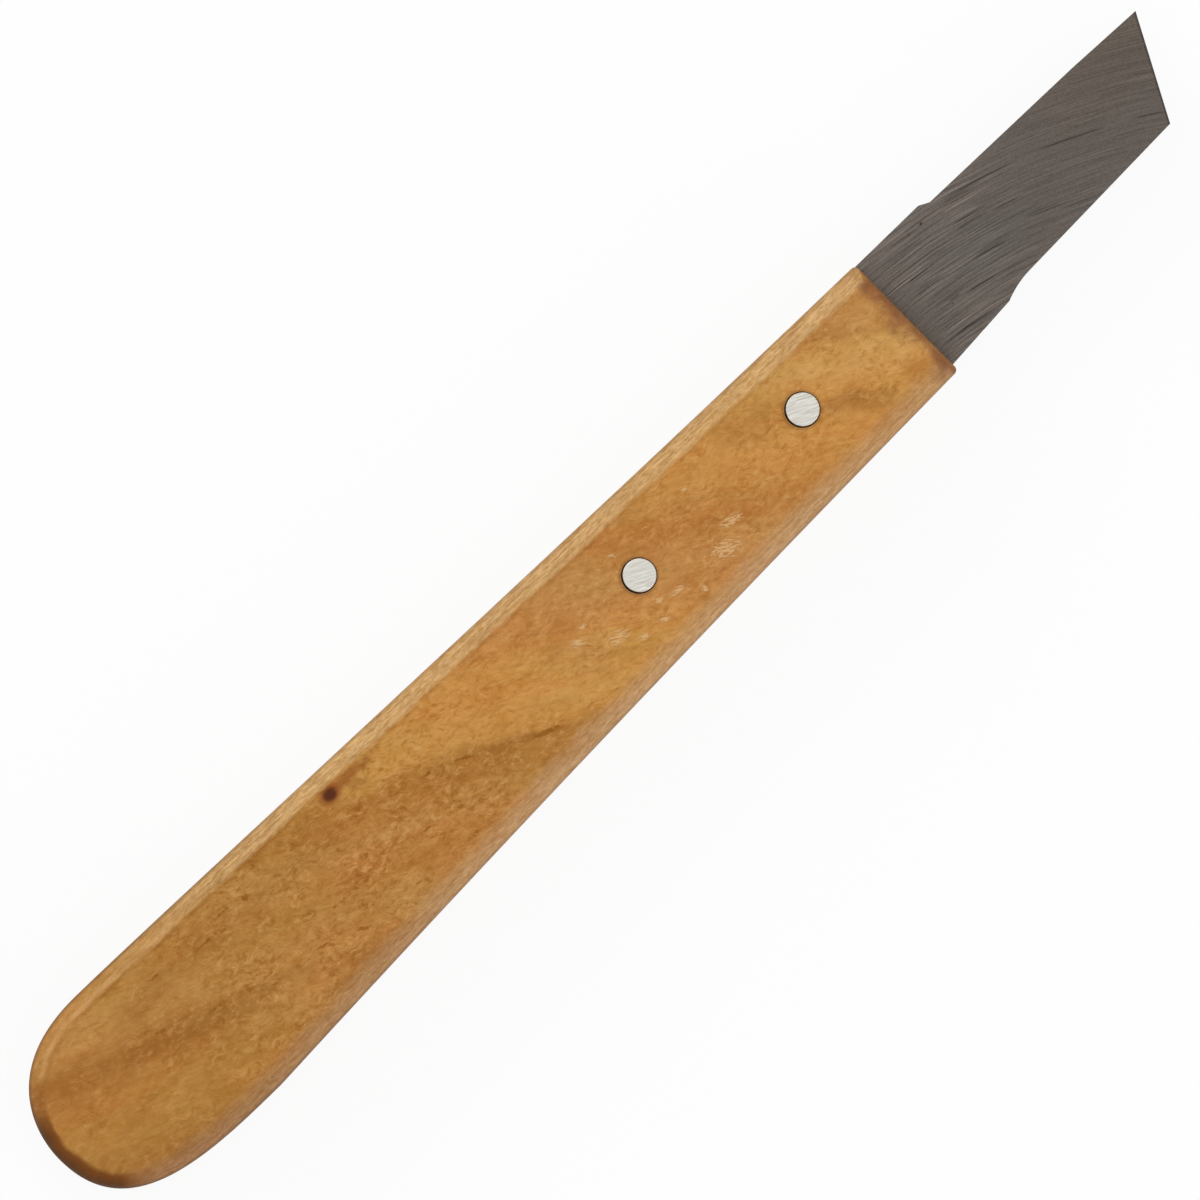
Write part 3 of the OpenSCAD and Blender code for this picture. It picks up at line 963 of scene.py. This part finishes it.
# Steps over an edge, round each front corner, and along each curve of the outline
RIM_STEPS = 14
CORNER_STEPS = 8
SPINE_STEPS = 170
BUTT_SPINE_STEPS = 70
BUTT_BELLY_STEPS = 80
BELLY_STEPS = 150
# Width of the strip of flat face that still counts as edge, on the belly side and on the spine side
FLAT_MARGINS = (1.2 * MM, 0.7 * MM)
# Stretch behind the front that the rows of the two front corners cover
CORNER_STRETCH = 3 * MM
# Name of the mesh attribute that tells the wood how far over an edge it is: -1 on the flat face, 0 where
# the rounding starts and 1 on the outline
RIM = "rim"


def cubic(points, t):
    """Points of a cubic curve, and its directions of travel."""
    a, b, c, d = (np.array(p)[None, :] for p in points)
    t = t[:, None]
    spots = (1 - t) ** 3 * a + 3 * (1 - t) ** 2 * t * b + 3 * (1 - t) * t**2 * c + t**3 * d
    step = (1 - t) ** 2 * (b - a) + 2 * (1 - t) * t * (c - b) + t**2 * (d - c)
    return spots, step / np.linalg.norm(step, axis=1)[:, None]


def ramp(ends, t):
    """Even change from one value to another."""
    return ends[0] + (ends[1] - ends[0]) * t


def edge_run(points, steps, rims, roundness):
    """Rows of place, way in to the flat face, rim width and roundness, along one curve after its start."""
    t = np.arange(1, steps + 1) / steps
    spots, travel = cubic(points, t)
    inward = np.column_stack([-travel[:, 1], travel[:, 0]])
    rim = ramp(rims, t)
    rows = np.column_stack([spots, inward * rim[:, None], rim, ramp(roundness, t)])
    return rows[rows[:, 0] < handle_high.x - CORNER_STRETCH]


def corner_run(corner, radius, turns, inset, rims, roundness):
    """Rows like those of edge_run, round one of the front corners."""
    t = np.arange(CORNER_STEPS + 1) / CORNER_STEPS
    turn = np.radians(ramp(turns, t))
    spots = np.array(corner)[None, :] + radius * np.column_stack([np.cos(turn), np.sin(turn)])
    insets = np.tile(inset, (CORNER_STEPS + 1, 1))
    return np.column_stack([spots, insets, ramp(rims, t), ramp(roundness, t)])


def bow(start, pull, end, pull_back):
    """The four points of a cubic curve, from its ends and how far its inner points are pulled from them."""
    return [start, start + np.array(pull), end + np.array(pull_back), end]


def handle_outline(s):
    """The handle's outline, anticlockwise from its front corner on the belly side."""
    front, butt, half = handle_high.x, handle_low.x, handle_high.y
    front_spine = np.array([front, s.front_spine])
    front_belly = np.array([front, s.front_belly])
    shoulder = np.array([butt + s.shoulder_run, half])
    end = np.array([butt, -s.butt_drop])
    belly = np.array([butt + s.belly_run, -half])
    spine_pull, shoulder_pull = np.array(SPINE_PULLS) * (front - shoulder[0])
    front_pull, belly_pull = np.array(BELLY_PULLS) * (front - belly[0])
    spine_way = np.array([-1, math.tan(s.spine_widening)])
    belly_way = np.array([-1, -math.tan(s.belly_widening)])
    spine = bow(front_spine, spine_pull * spine_way, shoulder, (shoulder_pull, 0))
    butt_spine = bow(
        shoulder, (-BUTT_SPINE_FULL[0] * s.shoulder_run, 0), end, (0, BUTT_SPINE_FULL[1] * (half - end[1]))
    )
    butt_belly = bow(
        end, (0, -BUTT_BELLY_FULL[1] * (half + end[1])), belly, (-BUTT_BELLY_FULL[0] * s.belly_run, 0)
    )
    belly_edge = bow(belly, (belly_pull, 0), front_belly, front_pull * belly_way)
    r = s.corner_radius
    at_spine, at_butt, at_belly, at_front = ROUNDNESS.values()
    return np.vstack([
        corner_run(front_belly + (-r, r), r, (-90, 0), (-s.front_rim, s.belly_rim),
                   (s.belly_rim, s.front_rim), (at_belly, at_front)),
        corner_run(front_spine - (r, r), r, (0, 90), (-s.front_rim, -s.spine_rim_front),
                   (s.front_rim, s.spine_rim_front), (at_front, at_spine)),
        edge_run(spine, SPINE_STEPS, (s.spine_rim_front, s.spine_rim_rear), (at_spine, at_spine)),
        edge_run(butt_spine, BUTT_SPINE_STEPS, (s.spine_rim_rear, s.butt_rim), (at_spine, at_butt)),
        edge_run(butt_belly, BUTT_BELLY_STEPS, (s.butt_rim, s.belly_rim), (at_butt, at_belly)),
        edge_run(belly_edge, BELLY_STEPS, (s.belly_rim, s.belly_rim), (at_belly, at_belly)),
    ])


# Waves of uneven sanding: waves in a metre, and share of the whole
SAND_WAVES = ((90, 1.0), (260, 0.6), (620, 0.4))
# Places in the noise for the under side and for the upper side
SAND_SEEDS = (3.0, 11.0)


def sand(outline, amount, seed):
    """The outline with its rims a little uneven, as hand sanding leaves them, apart from its front."""
    sanded = outline.copy()
    for row in sanded:
        spot = Vector((row[0], row[1], seed))
        wave = sum(part * noise.noise(spot * per_metre) for per_metre, part in SAND_WAVES)
        behind = np.clip((handle_high.x - row[0]) / CORNER_STRETCH - 1, 0, 1)
        row[2:5] *= 1 + amount * behind * wave
    return sanded


def rim_ring(outline, turn, thickness, depth, upper):
    """One ring of the skin: turn 0 is the edge of the flat face, 90 is the outline itself."""
    reach = 2 / outline[:, 5]
    flat = outline[:, 0:2] + outline[:, 2:4] * (1 - np.sin(turn) ** reach)[:, None]
    drop = depth * outline[:, 4] * (1 - np.maximum(np.cos(turn), 0) ** reach)
    return np.column_stack([flat, thickness - drop if upper else drop])


def flat_ring(outline, height):
    """A ring just inside the edge of a flat face, which keeps the face flat in the light."""
    way = outline[:, 2:4] / np.linalg.norm(outline[:, 2:4], axis=1)[:, None]
    margin = np.interp(outline[:, 1], (handle_low.y / 3, handle_high.y / 3), FLAT_MARGINS)
    flat = outline[:, 0:2] + outline[:, 2:4] + way * margin[:, None]
    return np.column_stack([flat, np.full(len(flat), height)])


def handle_blank(s):
    """The wooden body before it is slotted and drilled."""
    outline = handle_outline(s)
    thickness = handle_high.z
    turns = np.radians(90) * np.arange(RIM_STEPS + 1) / RIM_STEPS
    under, over = (sand(outline, s.sanding, seed) for seed in SAND_SEEDS)
    rings = [flat_ring(under, 0.0)]
    rings += [rim_ring(under, turn, thickness, s.rim_depth, False) for turn in turns]
    rings += [rim_ring(over, turn, thickness, s.rim_depth, True) for turn in turns[::-1]]
    rings.append(flat_ring(over, thickness))
    climb = [-1.0, *np.sin(turns)]
    levels = [*climb, *climb[::-1]]
    bm = bmesh.new()
    rim = bm.loops.layers.float.new(RIM)
    bands, ends = skin(bm, rings)
    for band, below, above in zip(bands, levels, levels[1:]):
        for face in band:
            for loop, level in zip(face.loops, (below, below, above, above)):
                loop[rim] = level
    for face in ends:
        for loop in face.loops:
            loop[rim] = climb[0]
    return bm


class KNIFE_OT_handle(Operator):
    """Makes the wooden handle, slotted for the tang and drilled for the rivets."""

    bl_idname = "knife.handle"
    bl_label = "Handle"

    def execute(self, context):
        s = context.scene.knife_handle
        rivets = context.scene.knife_rivets
        piece = new_piece("oiled_handle", handle_blank(s), oiled_wood(s))
        low = (blade_low.x - s.slot_end_gap, handle_low.y - CUT_MARGIN, blade_low.z - s.slot_gap)
        high = (handle_high.x + CUT_MARGIN, handle_high.y + CUT_MARGIN, blade_high.z + s.slot_gap)
        shift = Vector((rivets.hole_shift, 0))
        holes = [
            drill(pin_middle(name) - shift, rivets.hole_radius, handle_low.z, handle_high.z)
            for name in pin_boxes
        ]
        carve(piece, [block(low, high), *holes])
        shade(piece, HANDLE_SHARP)
        dress(piece, "handle")
        return {"FINISHED"}


# Blade

NOTCH_STEPS = 20
# Which edges are eased: those sharper than an angle in degrees, this far behind the cutting edge
EASED_DEGREES = 50
EASED_FROM = 1 * MM
EASE_SEGMENTS = 2


def blade_outline(s):
    """The blade's outline from above, anticlockwise from the end of the tang, and its point."""
    front, spine, belly = handle_high.x, blade_high.y, blade_low.y
    heel_spine = spine - s.heel_drop
    work_spine = Vector((front + s.spine_base + s.spine_notch_run, heel_spine - s.spine_notch_height))
    work_belly = belly + s.heel_rise + s.belly_notch_height
    drop = math.acos(1 - s.belly_notch_height / s.notch_radius)
    wheel = Vector((front + s.belly_base + s.notch_radius * math.sin(drop), work_belly - s.notch_radius))
    worn_x = blade_high.x - s.worn_length
    worn = Vector((worn_x, work_spine.y - (worn_x - work_spine.x) * math.tan(s.spine_taper)))
    tip = worn + s.worn_length * Vector((1, -math.tan(s.worn_taper)))
    slope = math.tan(s.belly_taper)
    back = (tip.y - work_belly - (tip.x - wheel.x) * slope) / (math.tan(s.skew) - slope)
    foot = tip - back * Vector((1, math.tan(s.skew)))
    turns = [math.pi / 2 + drop * (1 - i / NOTCH_STEPS) for i in range(NOTCH_STEPS + 1)]
    notch = [wheel + s.notch_radius * Vector((math.cos(turn), math.sin(turn))) for turn in turns]
    tang = [Vector((blade_low.x, belly)), Vector((front, belly))]
    heel = Vector((front + s.spine_base, heel_spine))
    rear = [Vector((front, spine)), Vector((blade_low.x, spine))]
    return [*tang, *notch, foot, tip, worn, work_spine, heel, *rear], tip


def slice_off(bm, point, normal):
    """Cuts off what lies beyond a plane, and closes the cut."""
    geometry = [*bm.verts, *bm.edges, *bm.faces]
    bmesh.ops.bisect_plane(bm, geom=geometry, plane_co=point, plane_no=normal, clear_outer=True)
    bmesh.ops.holes_fill(bm, edges=[e for e in bm.edges if e.is_boundary], sides=0)


def blade_bar(s, outline, tip):
    """The steel bar, with its skew end bevelled below and honed above, and its long edges eased."""
    bm = bmesh.new()
    floor = bm.faces.new([bm.verts.new((p.x, p.y, blade_low.z)) for p in outline])
    raised = bmesh.ops.extrude_face_region(bm, geom=[floor])["geom"]
    thickness = blade_high.z - blade_low.z
    lifted = [part for part in raised if isinstance(part, bmesh.types.BMVert)]
    bmesh.ops.translate(bm, verts=lifted, vec=(0, 0, thickness))
    bmesh.ops.recalc_face_normals(bm, faces=bm.faces)
    edge = Vector((math.cos(s.skew), math.sin(s.skew), 0))
    inward = Vector((-edge.y, edge.x, 0))
    up = Vector((0, 0, 1))
    honed = math.atan2(s.honed_height, s.honed_width)
    top = Vector((tip.x, tip.y, blade_high.z - s.honed_height))
    slice_off(bm, top, up * math.cos(honed) - inward * math.sin(honed))
    under = top - up * s.edge_land
    slice_off(bm, under, -up * math.cos(s.bevel) - inward * math.sin(s.bevel))
    bmesh.ops.recalc_face_normals(bm, faces=bm.faces)

    def from_edge(vert):
        return (vert.co - top).dot(inward)

    long_edges = [
        e for e in bm.edges
        if e.calc_face_angle(0) > math.radians(EASED_DEGREES)
        and max(from_edge(v) for v in e.verts) > EASED_FROM
    ]
    bmesh.ops.bevel(
        bm, geom=long_edges, offset=s.edge_ease, segments=EASE_SEGMENTS, profile=0.5, affect="EDGES",
        clamp_overlap=True,
    )
    return bm


class KNIFE_OT_blade(Operator):
    """Makes the steel blade, with its tang drilled for the rivets."""

    bl_idname = "knife.blade"
    bl_label = "Blade"

    def execute(self, context):
        s = context.scene.knife_blade
        outline, tip = blade_outline(s)
        piece = new_piece("ground_blade", blade_bar(s, outline, tip), ground_steel(s, tip))
        holes = []
        for name, (low, high) in pin_boxes.items():
            radius = (high.x - low.x) / 2 + s.hole_gap
            holes.append(drill(pin_middle(name), radius, blade_low.z, blade_high.z))
        carve(piece, holes)
        shade(piece, BLADE_SHARP)
        dress(piece, "blade")
        return {"FINISHED"}


# Rivets

# Height of the slight dome that filing left on each end
DOME = 0.02 * MM
# Distance from each end over which a pin is hammered out of round
HAMMERED = 1 * MM
# Section of one end, from its middle out: share of the radius, inset in eased rims, and depth in domes
# and in eased rims
PIN_END = ((0.5, 0, 0, 0), (1, 2, 0.3, 0), (1, 1, 1, 0), (1, 0.3, 1, 0.3), (1, 0, 1, 1))
# Waves round the rim of an end, the part of a wave by which the rim stays in, and each pin's place in
# the noise
PIN_WAVES = 1.6
PIN_INSET = 0.45
PIN_SEEDS = (2.0, 5.7)


def rivet_pin(name, s, seed):
    """A plain pin, its two ends hammered a little out of round and filed nearly flat."""
    low, high = pin_boxes[name]
    middle = pin_middle(name)
    radius = (high.x - low.x) / 2
    turns = [2 * math.pi * i / ROUND_SIDES for i in range(ROUND_SIDES)]

    def ring(part, inset, height, uneven):
        points = []
        for turn in turns:
            way = Vector((math.cos(turn), math.sin(turn)))
            wave = noise.noise(Vector((way.x * PIN_WAVES, way.y * PIN_WAVES, seed))) - PIN_INSET
            reach = (radius * (1 + uneven * wave) - inset) * part
            points.append((*(middle + way * reach), height))
        return points

    def end_rings(end, way):
        return [
            ring(part, s.shrink + inset * s.ease, end + way * (domes * DOME + eases * s.ease), s.uneven)
            for part, inset, domes, eases in PIN_END
        ]

    shank = [ring(1, s.shrink, low.z + HAMMERED, 0), ring(1, s.shrink, high.z - HAMMERED, 0)]
    rings = [*end_rings(low.z, 1), *shank, *end_rings(high.z, -1)[::-1]]
    bm = bmesh.new()
    skin(bm, rings)
    return bm


class KNIFE_OT_rivets(Operator):
    """Makes the two rivets."""

    bl_idname = "knife.rivets"
    bl_label = "Rivets"

    def execute(self, context):
        s = context.scene.knife_rivets
        metal = filed_aluminium(s)
        for name, seed in zip(pin_boxes, PIN_SEEDS):
            piece = new_piece(f"{name}_pin", rivet_pin(name, s, seed), metal)
            shade(piece, PIN_SHARP)
            dress(piece, name)
        return {"FINISHED"}


# Stage

# Half size of the floor, and how far the camera sees, in metres
FLOOR_HALF = 3.0
CAMERA_REACH = 100.0
# How far the floor lies below the knife
FLOOR_DROP = 0.05 * MM
# Soft lights: name, place and size in metres, the setting that holds the brightness, and whether metal
# shows it. The white surroundings overhead already show there, so the overhead light doesn't.
SOFT_LIGHTS = (
    ("overhead_light", (0.0, 0.0, 0.95), (1.3, 1.3), "overhead", False),
    ("spine_light", (0.1, 0.95, 0.42), (1.1, 0.5), "spine_side", True),
    ("belly_light", (0.1, -0.95, 0.42), (1.1, 0.5), "belly_side", True),
)


def soft_light(name, spot, size, brightness, glossy):
    """A rectangular light of even brightness, aimed at the knife and hidden from the camera."""
    lamp = bpy.data.lights.new(name, "AREA")
    lamp.shape = "RECTANGLE"
    lamp.size, lamp.size_y = size
    lamp.energy = brightness * math.pi * size[0] * size[1]
    light = bpy.data.objects.new(name, lamp)
    light.location = spot
    light.rotation_euler = (-Vector(spot)).to_track_quat("-Z", "Y").to_euler()
    light.visible_camera = False
    light.visible_glossy = glossy
    bpy.context.scene.collection.objects.link(light)


def stage_world(s):
    """Even light from all round, white where the camera or metal sees it."""
    world = bpy.data.worlds.new("studio")
    world.use_nodes = True
    tree = world.node_tree
    tree.nodes.clear()
    strength = rise(seen_directly(tree), 0.0, 1.0, s.ambient, 1.0)
    light = place(tree, "ShaderNodeBackground", {"Color": WHITE, "Strength": strength})
    finish_tree(light, "ShaderNodeOutputWorld")
    bpy.context.scene.world = world


def stage_camera(s):
    """Camera straight above the knife, turned so that the knife lies across the picture."""
    data = bpy.data.cameras.new("camera")
    data.lens = s.lens
    data.clip_end = CAMERA_REACH
    camera = bpy.data.objects.new("camera", data)
    distance = s.view_width * s.lens / data.sensor_width
    camera.location = (*s.view_centre, handle_high.z + distance)
    camera.rotation_euler = (0, 0, s.view_turn)
    bpy.context.scene.collection.objects.link(camera)
    bpy.context.scene.camera = camera


class KNIFE_OT_stage(Operator):
    """Makes the floor, the lights and the camera."""

    bl_idname = "knife.stage"
    bl_label = "Stage"

    def execute(self, context):
        s = context.scene.knife_stage
        bm = bmesh.new()
        bmesh.ops.create_grid(bm, x_segments=1, y_segments=1, size=FLOOR_HALF)
        floor = new_piece("floor", bm, pale_floor(s))
        floor.location.z = -FLOOR_DROP
        for name, spot, size, setting, glossy in SOFT_LIGHTS:
            soft_light(name, spot, size, getattr(s, setting), glossy)
        stage_world(s)
        stage_camera(s)
        context.scene.view_settings.view_transform = "Standard"
        return {"FINISHED"}


class KNIFE_PT_sidebar(Panel):
    """Lists the pieces of the knife and their settings."""

    bl_idname = "KNIFE_PT_sidebar"
    bl_label = "Wood carving knife"
    bl_space_type = "VIEW_3D"
    bl_region_type = "UI"
    bl_category = "Knife"

    def draw(self, context):
        for operator, group, _ in PIECES:
            box = self.layout.box()
            box.operator(operator.bl_idname)
            settings = getattr(context.scene, group)
            for name in settings.__annotations__:
                box.prop(settings, name)


# Each operator, the name of its settings in the scene, and their class
PIECES = (
    (KNIFE_OT_stage, "knife_stage", StageSettings),
    (KNIFE_OT_handle, "knife_handle", HandleSettings),
    (KNIFE_OT_blade, "knife_blade", BladeSettings),
    (KNIFE_OT_rivets, "knife_rivets", RivetSettings),
)
CLASSES = (*(settings for *_, settings in PIECES), *(operator for operator, *_ in PIECES), KNIFE_PT_sidebar)


def register():
    for cls in CLASSES:
        bpy.utils.register_class(cls)
    for _, group, settings in PIECES:
        setattr(bpy.types.Scene, group, PointerProperty(type=settings))


def unregister():
    for _, group, _ in PIECES:
        delattr(bpy.types.Scene, group)
    for cls in reversed(CLASSES):
        bpy.utils.unregister_class(cls)


def main():
    """Makes every piece in order."""
    register()
    bpy.ops.knife.stage()
    bpy.ops.knife.handle()
    bpy.ops.knife.blade()
    bpy.ops.knife.rivets()
    bpy.context.view_layer.update()


if __name__ == "__main__":
    main()
